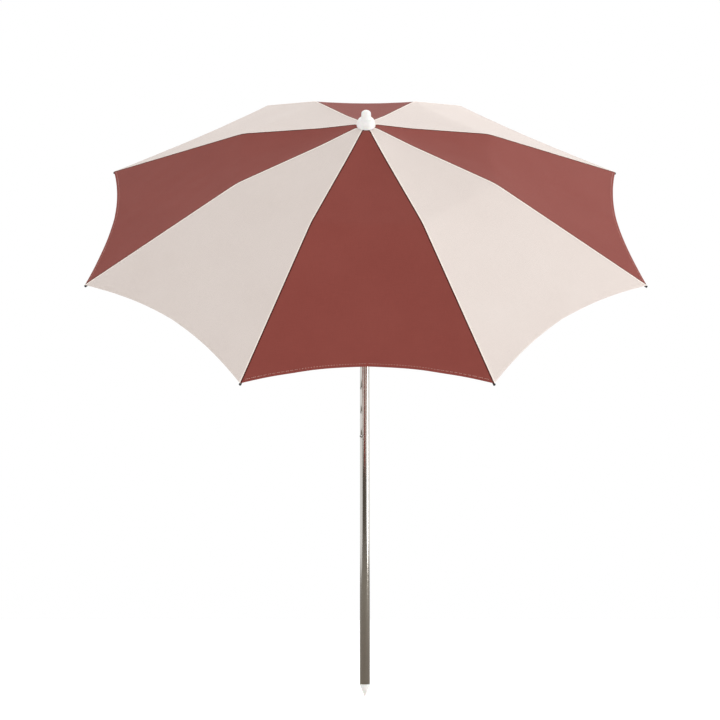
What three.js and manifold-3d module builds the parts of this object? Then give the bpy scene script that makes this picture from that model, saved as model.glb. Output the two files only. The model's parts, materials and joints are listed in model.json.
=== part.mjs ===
// Beach umbrella: telescoping steel pole on a spike, tilt joint, mast, and a
// canopy of eight gores on eight hinged ribs held open by eight stretchers.
// Millimetres, +Z up, origin at the spike's tip. The mast leans towards -Y.

import * as THREE from 'three';
import { mergeVertices } from 'three/addons/utils/BufferGeometryUtils.js';
import Module from 'manifold-3d';

const wasm = await Module();
wasm.setup();

// Driving dimensions: fits
const touch = 0.3; // between pieces that touch
const slideFit = 0.6; // radial play of one tube in another's bush
const pinFit = 0.4; // radial play of a pin or wire in its hole
const edge = 0.5; // broken edge of a moulding
const past = 20; // how far a cutter runs past what it cuts

// Driving dimensions: pole
const lowerRadius = 16;
const upperRadius = 14;
const tubeWall = 1.2;
const lowerLength = 1076;
const middleBelow = 110; // middle tube's end below the height button
const spikeLength = 37;
const spikeTip = 3;
const plugLength = 42;
const bushLength = 7; // below the middle tube's end
const bushStem = 22;
const collarHeight = 24;
const collarWall = 2.2;
const collarLip = 3;
const topHoleDrop = 113; // from the lower tube's top end to its highest hole
const holePitch = 80;
const holeCount = 3;
const holeAzimuth = 48; // degrees to the left of the front
const buttonRadius = 4.2;
const buttonProud = 5;
const leafLength = 42; // the button's bent leaf spring
const leafWidth = 7;
const leafThickness = 0.9;
const leafGap = 4; // between the leaf and the tube's bore behind the stud

// Driving dimensions: tilt joint
const tiltAngle = 45;
const mastLength = 800; // tilt pin to the hub's rib pins
const forkRadius = 17;
const forkBase = 15;
const forkLift = 3; // between the fork and the collar under it
const cheekOut = 12.4;
const tongueHalf = 8.2;
const tiltPinRadius = 3.5;
const tiltPinHead = 6;
const tiltButtonRadius = 2.8;
const tiltButtonOrbit = 11.5;
const tiltButtonProud = 2.2;
const tiltPocket = 7; // depth of the button's pocket past the tongue's middle
const foldedLeaf = 0.6; // thickness of the tilt button's folded leaf
const neckWidth = 24;
const stemLength = 30; // a moulding's stem inside a tube
const shoulderHeight = 8;

// Driving dimensions: canopy frame
const ribCount = 8;
const canopyRadius = 910; // rib tips, from the mast's axis
const innerSlope = 15; // degrees below level, hub to stretcher
const outerSlope = 26.2; // degrees below level, stretcher to tip
const ribRadius = 2.5;
const ribBendRadius = 150;
const stretcherFoot = 380; // along the rib, hub pin to stretcher pin
const stretcherDrop = 9; // stretcher pin below the rib's centre line
const pivotCircle = 26; // radius of the hub and runner wires
const wireRadius = 1.25;
const eyeRadius = 3.3;
const eyeWidth = 5;
const hubRim = 7; // hub outside the wire's circle
const hubRoof = 2.6;
const hubSkirt = 16;
const hubChamfer = 10;
const clipLength = 20;
const clipWall = 0.8;
const lugWidth = 4;
const lugRadius = 4.2;
const rivetRadius = 1.2;
const rivetHead = 0.6;
const cheekWall = 1.3;
const barDepth = 7;
const tongueLength = 14;
const tongueDepth = 5.2;
const runnerWall = 3.4;
const runnerBelow = 18;
const runnerAbove = 34;
const runnerGrip = 3; // how far the runner's foot flares out
const tipLength = 28;
const tipWall = 0.8;

// Driving dimensions: cloth and finial
const clothThickness = 1;
const clothGap = 0.4; // between the cloth and the rib clips under it
const clothHoleFit = 1.5; // cloth's hole round the finial's stem
const clothRest = 150; // distance from the mast where the cloth settles on the ribs
const hemSag = 50; // how far each hem is hollowed between two rib tips
const cornerReveal = 2.5; // rib tip left showing past the cloth
const seamHalfGap = 0.35;
const finialRadius = 28.5;
const finialHeight = 51.5;
const finialKnob = 14.8;
const finialStem = 4;
const finialStemLength = 16;
const finialRim = 5;
const finialNeck = 25.5; // height of the bell, where the knob starts
const washerThickness = 1.2;
const headPlugLength = 25;
const headPlugDrop = 1;

const rad = THREE.MathUtils.degToRad;

// Derived heights
const lowerTop = spikeLength + lowerLength;
const forkDrop = forkRadius + forkBase; // tilt pin to the fork's underside
const pivotHeight = lowerTop + collarLip + forkLift + forkDrop;
const buttonHeight = lowerTop - topHoleDrop - (holeCount - 1) * holePitch;
const upperBore = upperRadius - tubeWall;
const lowerBore = lowerRadius - tubeWall;
const holeRadius = buttonRadius + pinFit;
const shoulderLow = forkRadius + 1;
const shoulderTop = shoulderLow + shoulderHeight;
const linkLength = Math.hypot(stretcherFoot, stretcherDrop);
const linkAngle = rad(innerSlope) + Math.atan2(stretcherDrop, stretcherFoot);
const runnerDepth = 2 * linkLength * Math.sin(linkAngle);
const roofUnder = eyeRadius + 2 * touch;
const hubTop = roofUnder + hubRoof;
const hubRadius = pivotCircle + hubRim;
const clothLift = ribRadius + touch + clipWall + clothGap; // underside above the rib's middle
const clothHole = finialStem + clothHoleFit;
const slotHalf = eyeWidth / 2 + 2 * touch;
const slotInner = pivotCircle - eyeRadius - 4 * touch;

// Materials
const finish = (color, roughness, metalness) => () =>
  new THREE.MeshStandardMaterial({ color, roughness, metalness });
const steel = finish(0xb9b8b4, 0.35, 1);
const springSteel = finish(0x8d8f92, 0.3, 1);
const whitePlastic = finish(0xeeeeec, 0.4, 0);
const glassFibre = finish(0x3a3b3d, 0.5, 0);
const darkTip = finish(0x2c2c2e, 0.6, 0);
const terracotta = finish(0x8a4640, 0.9, 0);
const cream = finish(0xe9ddd3, 0.9, 0);

// Solids: a closed three.js geometry in and out of the boolean library
function solid(geometry) {
  const bare = new THREE.BufferGeometry();
  bare.setAttribute('position', geometry.getAttribute('position'));
  bare.setIndex(geometry.getIndex());
  const merged = mergeVertices(bare, 1e-4);
  const vertProperties = new Float32Array(merged.getAttribute('position').array);
  const triVerts = new Uint32Array(merged.getIndex().array);
  return new wasm.Manifold(new wasm.Mesh({ numProp: 3, vertProperties, triVerts }));
}

function geometryOf(body) {
  const { vertProperties, triVerts } = body.getMesh();
  const geometry = new THREE.BufferGeometry();
  geometry.setAttribute('position', new THREE.BufferAttribute(vertProperties, 3));
  geometry.setIndex(new THREE.BufferAttribute(triVerts, 1));
  geometry.computeVertexNormals();
  return geometry;
}

const joined = (first, ...rest) => rest.reduce((sum, next) => sum.add(next), first);
const cut = (body, ...tools) => tools.reduce((left, tool) => left.subtract(tool), body);

// A turned solid about +Z from [radius, height] points, listed from the bottom up on the outside
function turned(points, sides = 24) {
  const outline = points.map(([r, z]) => new THREE.Vector2(r, z));
  if (outline[0].x > 0 && outline.at(-1).x > 0) outline.push(outline[0].clone());
  return new THREE.LatheGeometry(outline, sides).rotateX(Math.PI / 2);
}

// A tube about +Z with closed ends
function tube(radius, wall, low, high, sides = 24) {
  const bore = radius - wall;
  return turned([[bore, low], [radius, low], [radius, high], [bore, high]], sides);
}

// A solid cylinder about +Z
function rod(radius, low, high, sides = 16) {
  return new THREE.CylinderGeometry(radius, radius, high - low, sides)
    .rotateX(Math.PI / 2)
    .translate(0, 0, (low + high) / 2);
}

const alongX = (geometry) => geometry.rotateY(Math.PI / 2);
const alongY = (geometry) => geometry.rotateX(-Math.PI / 2);

function block([x0, x1], [y0, y1], [z0, z1]) {
  return new THREE.BoxGeometry(x1 - x0, y1 - y0, z1 - z0)
    .translate((x0 + x1) / 2, (y0 + y1) / 2, (z0 + z1) / 2);
}

// A flat outline in the X-Z plane, given as [x, z] points, made `width` thick about y = 0
function plate(points, width) {
  const outline = new THREE.Shape(points.map(([x, z]) => new THREE.Vector2(x, z)));
  return new THREE.ExtrudeGeometry(outline, { depth: width, bevelEnabled: false })
    .rotateX(Math.PI / 2)
    .translate(0, width / 2, 0);
}

function ringWire(radius, wire, sides = 40, section = 6) {
  return new THREE.TorusGeometry(radius, wire, section, sides);
}

function place(group, name, geometry, material) {
  const mesh = new THREE.Mesh(geometry, material());
  mesh.name = name;
  group.add(mesh);
  return mesh;
}

const umbrella = new THREE.Group();

// Spike: a moulded plug in the lower tube's end with a blunt point below it
function spike() {
  const plug = lowerBore - touch;
  const lead = 2;
  return turned([
    [0, 0],
    [spikeTip * 0.7, spikeTip * 0.2],
    [spikeTip, spikeTip * 0.8],
    [lowerRadius - edge, spikeLength - lead],
    [lowerRadius, spikeLength - touch],
    [plug, spikeLength - touch],
    [plug, spikeLength + plugLength - lead],
    [plug - lead, spikeLength + plugLength],
    [0, spikeLength + plugLength],
  ]);
}

// Radial hole tool at an azimuth to the left of the front, through one side of a tube
function sideHole(radius, height) {
  return solid(rod(radius, leafGap, lowerRadius + leafGap).rotateX(Math.PI / 2)
    .rotateZ(-rad(holeAzimuth)).translate(0, 0, height));
}

// Lower tube with its row of height holes
function lowerPole() {
  const holes = Array.from({ length: holeCount }, (_, i) =>
    sideHole(holeRadius, lowerTop - topHoleDrop - i * holePitch));
  const body = solid(tube(lowerRadius, tubeWall, spikeLength, lowerTop, 32));
  return geometryOf(cut(body, ...holes));
}

// Collar: a cap over the lower tube's top that guides the tube inside it
function poleCollar() {
  const inside = lowerRadius + touch;
  const outside = inside + collarWall;
  const mouth = upperRadius + slideFit;
  return turned([
    [mouth, lowerTop + touch],
    [inside, lowerTop + touch],
    [inside, lowerTop + touch - collarHeight],
    [outside, lowerTop + touch - collarHeight],
    [outside, lowerTop + collarLip - 2 * edge],
    [outside - 2 * edge, lowerTop + collarLip],
    [mouth, lowerTop + collarLip],
  ]);
}

const middleTop = pivotHeight - forkDrop - touch;
const middleLow = buttonHeight - middleBelow;

// Middle tube, which slides in the lower one and carries the tilt fork
function middlePole() {
  const body = solid(tube(upperRadius, tubeWall, middleLow, middleTop, 32));
  return geometryOf(cut(body, sideHole(holeRadius, buttonHeight)));
}

// Bush that closes the middle tube's foot and centres it in the lower tube
function middlePlug() {
  const stem = upperBore - touch;
  const flange = lowerBore - slideFit;
  return turned([
    [0, middleLow - bushLength],
    [flange - 2 * edge, middleLow - bushLength],
    [flange, middleLow - bushLength + 2 * edge],
    [flange, middleLow - touch],
    [stem, middleLow - touch],
    [stem, middleLow + bushStem],
    [0, middleLow + bushStem],
  ]);
}

// Snap button: a bent leaf spring with a domed stud, made about +X with the stud's axis at z = 0
function snapClip(bore, reach) {
  const root = bore - leafGap;
  const inner = root - leafThickness;
  const back = -bore + 3 * pinFit;
  const dome = buttonRadius / 2;
  const bend = 2; // half the width of the leaf's closed end
  const stud = turned([
    [0, inner + pinFit],
    [buttonRadius, inner + pinFit],
    [buttonRadius, reach - dome],
    [buttonRadius * 0.8, reach - dome * 0.4],
    [buttonRadius * 0.4, reach - dome * 0.05],
    [0, reach],
  ], 16).rotateY(Math.PI / 2);
  const leaf = plate([
    [root, leafWidth],
    [root, -leafWidth + 1],
    [bend, -leafLength],
    [-bend, -leafLength],
    [back, leafWidth + 1],
    [back + leafThickness, leafWidth + 1],
    [leafThickness - bend, leafThickness - leafLength],
    [bend - leafThickness, leafThickness - leafLength],
    [inner, -leafWidth + 1],
    [inner, leafWidth],
  ], leafWidth);
  return geometryOf(joined(solid(stud), solid(leaf)));
}

// Fork: closes the middle tube and holds the tilt pin between two cheeks
function tiltFork() {
  const round = solid(rod(forkRadius + 1, -forkDrop, forkRadius + 1, 24));
  const base = solid(rod(forkRadius, -forkDrop, -forkRadius - touch, 24));
  const stem = solid(rod(upperBore - touch, -forkDrop - stemLength, -forkDrop + edge, 24));
  const slot = tongueHalf + 2 * touch;
  const floor = -forkRadius - touch;
  const cheeks = joined(
    solid(alongX(rod(forkRadius, -cheekOut, cheekOut, 24))),
    solid(block([-cheekOut, cheekOut], [-forkRadius, forkRadius], [floor - edge, 0])),
  ).intersect(round);
  const gate = solid(block([-slot, slot], [-forkRadius - past, forkRadius + past],
    [floor, forkRadius + past]));
  const bore = solid(alongX(rod(tiltPinRadius + pinFit, -past, past)));
  const lockHoles = [-1, 1].map((side) =>
    solid(alongX(rod(tiltButtonRadius + pinFit, 0, past, 12)).translate(0, ...buttonSeat(side))));
  return geometryOf(joined(cut(joined(base, cheeks), gate, bore, ...lockHoles), stem));
}

// Knuckle: a tongue on the tilt pin, a shoulder and a stem that fills the mast's foot
function tiltKnuckle() {
  const half = tongueHalf;
  const disc = solid(alongX(rod(forkRadius - 2 * touch, -half, half, 24)));
  const neck = solid(block([-half, half], [-neckWidth / 2, neckWidth / 2], [0, shoulderLow + edge]));
  const shoulder = solid(rod(forkRadius, shoulderLow, shoulderTop, 24));
  const stem = solid(rod(upperBore - touch, shoulderTop - edge, shoulderTop + stemLength, 24));
  const bore = solid(alongX(rod(tiltPinRadius + pinFit, -past, past)));
  const pocket = solid(alongX(rod(tiltButtonRadius + pinFit, -tiltPocket, past, 12))
    .translate(0, ...buttonSeat()));
  return geometryOf(cut(joined(disc, neck, shoulder, stem), bore, pocket));
}

// Centre of the tilt button in the tongue as [y, z]; the fork's two lock holes are at side 1
// with the mast upright and at side -1 with it leaning
function buttonSeat(side = 1) {
  const angle = rad(tiltAngle / 2) * side;
  return [tiltButtonOrbit * Math.sin(angle), tiltButtonOrbit * Math.cos(angle)];
}

// Pin: a headed rivet through both cheeks
function tiltPin() {
  const head = cheekOut + touch;
  const domed = tiltPinHead * 0.4;
  return alongX(turned([
    [0, -head - domed],
    [tiltPinHead * 0.8, -head - domed * 0.9],
    [tiltPinHead, -head - domed * 0.4],
    [tiltPinHead, -head],
    [tiltPinRadius, -head],
    [tiltPinRadius, head],
    [tiltPinHead, head],
    [tiltPinHead, head + domed * 0.4],
    [tiltPinHead * 0.8, head + domed * 0.9],
    [0, head + domed],
  ], 16));
}

// Tilt button: a stud on a folded leaf spring that fills its pocket in the tongue
function tiltButton() {
  const tip = cheekOut + tiltButtonProud;
  const back = -tiltPocket + touch;
  const foot = 2; // the stud's inner end, from the tongue's middle
  const breadth = 2;
  const rise = tiltButtonRadius * 0.7;
  const root = foot + edge;
  const near = -2 * foldedLeaf; // first fold
  const far = 2 * near - foldedLeaf; // second fold
  const stud = turned([
    [0, foot],
    [tiltButtonRadius, foot],
    [tiltButtonRadius, tip - 2 * edge],
    [tiltButtonRadius * 0.7, tip - 0.4 * edge],
    [0, tip],
  ], 12).rotateY(Math.PI / 2);
  const leaf = plate([
    [root, rise - foldedLeaf],
    [root, rise],
    [near, rise],
    [near, 0],
    [far + foldedLeaf, 0],
    [far + foldedLeaf, rise],
    [back, rise],
    [back, -rise],
    [back + foldedLeaf, -rise],
    [back + foldedLeaf, rise - foldedLeaf],
    [far, rise - foldedLeaf],
    [far, -foldedLeaf],
    [near + foldedLeaf, -foldedLeaf],
    [near + foldedLeaf, rise - foldedLeaf],
  ], breadth);
  return geometryOf(joined(solid(stud), solid(leaf))).translate(0, ...buttonSeat());
}

const mastLow = shoulderTop + touch;
const mastTop = mastLength + roofUnder - touch;
const catchHeight = mastLength - runnerDepth - runnerBelow - buttonRadius - 2 * edge;

// Mast: the tube above the tilt joint, which the runner slides on
function mast() {
  const hole = solid(rod(holeRadius, leafGap, upperRadius + leafGap).rotateY(Math.PI / 2)
    .translate(0, 0, catchHeight));
  return geometryOf(cut(solid(tube(upperRadius, tubeWall, mastLow, mastTop, 32)), hole));
}

// Plug in the mast's head that the finial's stem screws into
function mastPlug() {
  const outside = upperBore - touch;
  const bore = finialStem + pinFit;
  const top = mastTop - headPlugDrop;
  return tube(outside, outside - bore, top - headPlugLength, top);
}

// One slot of a hub or runner, open outwards and on one face
function slots(low, high) {
  return Array.from({ length: ribCount }, (_, i) =>
    solid(block([slotInner, hubRadius + past], [-slotHalf, slotHalf], [low, high])
      .rotateZ(ribAzimuth(i))));
}

function ribAzimuth(i) {
  return ((i + 0.5) / ribCount) * 2 * Math.PI - Math.PI / 2;
}

// Hub: a slotted crown on the mast's head that the ribs are wired into
function hub() {
  const body = solid(turned([
    [upperRadius + touch, -hubSkirt],
    [hubRadius - hubChamfer, -hubSkirt],
    [hubRadius, hubChamfer - hubSkirt],
    [hubRadius, hubTop - 3 * edge],
    [hubRadius - 3 * edge, hubTop],
    [finialStem + pinFit, hubTop],
    [finialStem + pinFit, roofUnder],
    [upperRadius + touch, roofUnder],
  ], 32));
  const groove = solid(ringWire(pivotCircle, wireRadius + pinFit));
  return geometryOf(cut(body, ...slots(-hubSkirt - past, roofUnder), groove));
}

// Runner: a slotted sleeve that slides on the mast and carries the stretchers
function runner() {
  const bore = upperRadius + slideFit;
  const outside = bore + runnerWall;
  const under = -eyeRadius - 2 * touch; // floor of the slots
  const flange = eyeRadius + 1;
  const body = solid(turned([
    [bore, -runnerBelow],
    [outside + runnerGrip, -runnerBelow],
    [outside + runnerGrip, -runnerBelow + runnerGrip],
    [outside, -runnerBelow + 2 * runnerGrip],
    [outside, under - 2 * runnerGrip],
    [hubRadius, under - runnerGrip],
    [hubRadius, flange],
    [outside, flange],
    [outside, runnerAbove - 2 * edge],
    [outside - 2 * edge, runnerAbove],
    [bore, runnerAbove],
  ]));
  const groove = solid(ringWire(pivotCircle, wireRadius + pinFit));
  return geometryOf(cut(body, ...slots(under, runnerAbove), groove));
}

// Rib's centre line in its own upright plane, as [outwards, up] from the hub pin; `short` ends
// it that far before the cap's end
function ribLine(short = 0) {
  const inner = rad(innerSlope);
  const outer = rad(outerSlope);
  const turn = outer - inner;
  const bendAt = stretcherFoot + clipLength / 2 + 1;
  const chords = 3;
  const spot = (angle, along, [x, z]) => [x + along * Math.cos(angle), z - along * Math.sin(angle)];
  const line = [spot(inner, eyeRadius - 1, [0, 0])];
  let corner = spot(inner, bendAt, [0, 0]);
  line.push(corner);
  for (let i = 1; i <= chords; i++) {
    const angle = inner + (turn * (i - 0.5)) / chords;
    corner = spot(angle, 2 * ribBendRadius * Math.sin(turn / chords / 2), corner);
    line.push(corner);
  }
  const reach = (canopyRadius - short - pivotCircle - corner[0]) / Math.cos(outer);
  line.push(spot(outer, reach, corner));
  return line;
}

// Height of the rib's centre line over the level of the hub pins
function ribHeight(outwards, line) {
  const i = Math.max(1, line.findIndex(([x]) => x >= outwards));
  const [[x0, z0], [x1, z1]] = [line[i - 1], line[i]];
  return z0 + ((outwards - x0) / (x1 - x0)) * (z1 - z0);
}

// A round bar that follows a line in the X-Z plane with a mitred ring at each point
function bar(points, radius, sides = 8) {
  const rings = points.map(([x, z], i) => {
    const [a, b] = [points[Math.max(i - 1, 0)], points[Math.min(i + 1, points.length - 1)]];
    const along = Math.atan2(b[1] - a[1], b[0] - a[0]);
    return Array.from({ length: sides }, (_, k) => {
      const turn = ((k + 0.5) / sides) * 2 * Math.PI;
      const rise = radius * Math.sin(turn);
      return [x - rise * Math.sin(along), radius * Math.cos(turn), z + rise * Math.cos(along)];
    });
  });
  return lofted(rings);
}

// A closed solid through rings with equally many points
function lofted(rings) {
  const sides = rings[0].length;
  const last = (rings.length - 1) * sides;
  const faces = [];
  for (let k = 1; k < sides - 1; k++) {
    faces.push(0, k + 1, k, last, last + k, last + k + 1);
  }
  for (let i = 0; i < rings.length - 1; i++) {
    for (let k = 0; k < sides; k++) {
      const [a, b] = [i * sides + k, i * sides + ((k + 1) % sides)];
      faces.push(a, b, b + sides, a, b + sides, a + sides);
    }
  }
  const geometry = new THREE.BufferGeometry();
  geometry.setAttribute('position', new THREE.Float32BufferAttribute(rings.flat(2), 3));
  geometry.setIndex(faces);
  geometry.computeVertexNormals();
  return geometry;
}

// Rib: a bent rod with an eye for the hub wire
function rib() {
  const stock = solid(bar(ribLine(2 * tipWall + edge), ribRadius));
  const eye = solid(alongY(rod(eyeRadius, -eyeWidth / 2, eyeWidth / 2, 12)));
  const bore = solid(alongY(rod(wireRadius + pinFit, -eyeWidth, eyeWidth, 8)));
  return geometryOf(cut(joined(stock, eye), bore));
}

// Rib clip: a sleeve crimped on the rib, with a lug for the stretcher's rivet
function ribClip() {
  const inside = ribRadius + touch;
  const outside = inside + clipWall;
  const half = clipLength / 2;
  const sleeve = solid(rod(outside, -half, half, 12).rotateY(Math.PI / 2));
  const lug = solid(alongY(rod(lugRadius, -lugWidth / 2, lugWidth / 2, 12))
    .translate(0, 0, -stretcherDrop));
  const web = solid(block([-lugRadius, lugRadius], [-lugWidth / 2, lugWidth / 2],
    [-stretcherDrop, -inside]));
  const bore = solid(rod(inside, -half - 1, half + 1, 12).rotateY(Math.PI / 2));
  const eye = solid(alongY(rod(rivetRadius + pinFit, -lugWidth, lugWidth, 8))
    .translate(0, 0, -stretcherDrop));
  return geometryOf(cut(joined(sleeve, lug, web), bore, eye));
}

// Stretcher along +X: an eye for the runner wire, a channel bar, and a riveted fork at the rib
function stretcher() {
  const slot = lugWidth / 2 + 2 * touch;
  const half = slot + cheekWall;
  const deep = barDepth / 2;
  const end = linkLength;
  const nick = 2 * lugRadius + 2 * edge; // the fork's slot, back from the rivet
  const web = 2 * lugRadius; // solid web left at each end of the channel
  const beam = solid(block([tongueLength, end], [-half, half], [-deep, deep]));
  const nose = solid(alongY(rod(lugRadius, -half, half, 12)).translate(end, 0, 0));
  const tongue = solid(block([0, tongueLength + edge], [-eyeWidth / 2, eyeWidth / 2],
    [-tongueDepth / 2, tongueDepth / 2]));
  const eye = solid(alongY(rod(eyeRadius, -eyeWidth / 2, eyeWidth / 2, 12)));
  const channel = solid(block([tongueLength + web, end - nick - web],
    [-half + cheekWall, half - cheekWall], [-barDepth, deep - cheekWall]));
  const fork = solid(block([end - nick, end + past], [-slot, slot], [-barDepth, barDepth]));
  const bore = solid(alongY(rod(wireRadius + pinFit, -eyeWidth, eyeWidth, 8)));
  const rivet = solid(alongY(rod(rivetRadius, -half - rivetHead, half + rivetHead, 8))
    .translate(end, 0, 0));
  const body = cut(joined(beam, nose, tongue, eye), channel, fork, bore);
  return geometryOf(joined(body, rivet));
}

// Cap on the rib's end
function ribTip() {
  const inside = ribRadius + touch;
  const outside = inside + tipWall;
  return turned([
    [0, -tipWall - touch],
    [inside, -tipWall - touch],
    [inside, -tipLength],
    [outside, -tipLength],
    [outside, -3 * edge],
    [outside - 2 * edge, 0],
    [0, 0],
  ], 10).rotateY(Math.PI / 2);
}

const crownRim = hubRadius + 2; // the cloth lies flat on the hub out to here

// Height of the cloth's underside over the hub pins, at a distance from the mast's axis
function clothHeight(radius, line) {
  const crownHeight = hubTop + touch;
  const onRib = (r) => {
    const slope = r - pivotCircle > line[1][0] ? outerSlope : innerSlope;
    return ribHeight(r - pivotCircle, line) + clothLift / Math.cos(rad(slope));
  };
  if (radius <= crownRim) return crownHeight;
  if (radius >= clothRest) return onRib(radius);
  const share = (radius - crownRim) / (clothRest - crownRim);
  return crownHeight + share * (onRib(clothRest) - crownHeight);
}

// One gore: straight threads from rib to rib, with a hollowed hem
function canopyPanel() {
  const line = ribLine();
  const corner = canopyRadius - cornerReveal;
  const halfTurn = Math.PI / ribCount;
  const bend = line.slice(1, -1).map(([x]) => (x + pivotCircle) / corner);
  const outerHalf = (1 + bend.at(-1)) / 2;
  const start = [clothHole, crownRim, clothRest].map((radius) => radius / corner);
  const stations = [...start, bend[0], bend[1], bend.at(-1), outerHalf, 1];
  const across = 8;
  const tightest = 0.4; // half the gore's width at its point, at least
  const skin = (lift) => stations.flatMap((share) => {
    return Array.from({ length: across + 1 }, (_, i) => {
      const side = (2 * i) / across - 1;
      const hollow = Math.max(0, (share - bend.at(-1)) / (1 - bend.at(-1)));
      const radius = share * corner - hollow * hemSag * (1 - side * side);
      const half = Math.max(radius * Math.sin(halfTurn) - seamHalfGap, tightest);
      return [
        radius * Math.cos(halfTurn),
        half * side,
        clothHeight(radius, line) + lift,
      ];
    });
  });
  const points = [...skin(0), ...skin(clothThickness / Math.cos(rad(outerSlope)))];
  return sheetSolid(points, stations.length, across + 1);
}

// A closed sheet from a lower and an upper grid of points
function sheetSolid(points, rows, columns) {
  const upper = rows * columns;
  const faces = [];
  const quad = (a, b, c, d) => faces.push(a, b, c, a, c, d);
  for (let i = 0; i < rows - 1; i++) {
    for (let k = 0; k < columns - 1; k++) {
      const a = i * columns + k;
      quad(a, a + 1, a + columns + 1, a + columns);
      quad(upper + a, upper + a + columns, upper + a + columns + 1, upper + a + 1);
    }
    const [left, right] = [i * columns, i * columns + columns - 1];
    quad(left, left + columns, upper + left + columns, upper + left);
    quad(right, upper + right, upper + right + columns, right + columns);
  }
  for (let k = 0; k < columns - 1; k++) {
    const far = (rows - 1) * columns + k;
    quad(k, upper + k, upper + k + 1, k + 1);
    quad(far, far + 1, upper + far + 1, upper + far);
  }
  const geometry = new THREE.BufferGeometry();
  geometry.setAttribute('position', new THREE.Float32BufferAttribute(points.flat(), 3));
  geometry.setIndex(faces);
  geometry.computeVertexNormals();
  return geometry;
}

const clothTop = hubTop + touch + clothThickness / Math.cos(rad(outerSlope));

function washer() {
  const low = clothTop + touch;
  const bore = finialStem + pinFit;
  const outside = finialRadius - finialRim - 2 * edge;
  return tube(outside, outside - bore, low, low + washerThickness);
}

// Finial: a bell with a round knob, and a stem that screws into the mast
function finial() {
  const base = clothTop + touch;
  const top = base + finialHeight;
  const hollow = base + washerThickness + touch;
  const inner = finialRadius - finialRim;
  const foot = roofUnder - finialStemLength;
  const shoulder = finialKnob + 4 * edge;
  const bell = [0.2, 0.5, 0.8].map((share) => [
    shoulder + (finialRadius - shoulder) * Math.sqrt(1 - share * share),
    base + finialNeck * share,
  ]);
  const roundTop = finialKnob * 0.4;
  return turned([
    [0, foot],
    [finialStem, foot],
    [finialStem, hollow],
    [inner, hollow],
    [inner, base],
    [finialRadius - 2 * edge, base],
    [finialRadius, base + 2 * edge],
    ...bell,
    [shoulder, base + finialNeck],
    [finialKnob, top - 2 * roundTop],
    [finialKnob * 0.9, top - roundTop],
    [finialKnob * 0.6, top - roundTop / 4],
    [0, top],
  ]);
}

// Pole, fixed part
place(umbrella, 'spike', spike(), whitePlastic);
place(umbrella, 'lower_pole', lowerPole(), steel);
place(umbrella, 'pole_collar', poleCollar(), whitePlastic);

// Pole, sliding part
place(umbrella, 'middle_pole', middlePole(), steel);
place(umbrella, 'middle_pole_plug', middlePlug(), whitePlastic);
const buttonReach = lowerRadius + buttonProud;
const heightButton = place(umbrella, 'snap_button', snapClip(upperBore, buttonReach), springSteel);
heightButton.position.z = buttonHeight;
heightButton.rotation.z = -Math.PI / 2 - rad(holeAzimuth);
place(umbrella, 'tilt_fork', tiltFork(), whitePlastic).position.z = pivotHeight;
place(umbrella, 'tilt_pin', tiltPin(), springSteel).position.z = pivotHeight;

// Everything above the tilt pin leans forward with the mast
const head = new THREE.Group();
head.position.z = pivotHeight;
head.rotation.x = rad(tiltAngle);
umbrella.add(head);
place(head, 'tilt_knuckle', tiltKnuckle(), whitePlastic);
place(head, 'tilt_button', tiltButton(), springSteel);
place(head, 'mast', mast(), steel);
const catchReach = upperRadius + buttonProud;
place(head, 'runner_catch', snapClip(upperBore, catchReach), springSteel).position.z = catchHeight;

const crown = new THREE.Group();
crown.position.z = mastLength;
head.add(crown);
place(head, 'mast_plug', mastPlug(), whitePlastic);
place(crown, 'hub', hub(), whitePlastic);
place(crown, 'hub_wire', ringWire(pivotCircle, wireRadius), springSteel);
place(crown, 'canopy_washer', washer(), whitePlastic);
place(crown, 'finial', finial(), whitePlastic);
place(crown, 'runner', runner(), whitePlastic).position.z = -runnerDepth;
place(crown, 'runner_wire', ringWire(pivotCircle, wireRadius), springSteel).position.z = -runnerDepth;

// Ribs with their clips, caps, stretchers and gores, counted anticlockwise from the front right
const tipSpot = ribLine().at(-1);
const inward = rad(innerSlope);
for (let i = 0; i < ribCount; i++) {
  const arm = new THREE.Group();
  arm.rotation.z = ribAzimuth(i);
  crown.add(arm);
  const pin = new THREE.Group();
  pin.position.x = pivotCircle;
  arm.add(pin);
  place(pin, `rib_${i + 1}`, rib(), glassFibre);
  const clip = place(pin, `rib_clip_${i + 1}`, ribClip(), steel);
  clip.position.set(stretcherFoot * Math.cos(inward), 0, -stretcherFoot * Math.sin(inward));
  clip.rotation.y = inward;
  const cap = place(pin, `rib_tip_${i + 1}`, ribTip(), darkTip);
  cap.position.set(tipSpot[0], 0, tipSpot[1]);
  cap.rotation.y = rad(outerSlope);
  const strut = place(pin, `stretcher_${i + 1}`, stretcher(), steel);
  strut.position.z = -runnerDepth;
  strut.rotation.y = -linkAngle;
  const gore = new THREE.Group();
  gore.rotation.z = ribAzimuth(i) + Math.PI / ribCount;
  crown.add(gore);
  place(gore, `canopy_panel_${i + 1}`, canopyPanel(), i % 2 ? terracotta : cream);
}

export default umbrella;
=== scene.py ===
import json
import math

import bpy
from mathutils import Matrix, Vector, noise


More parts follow.
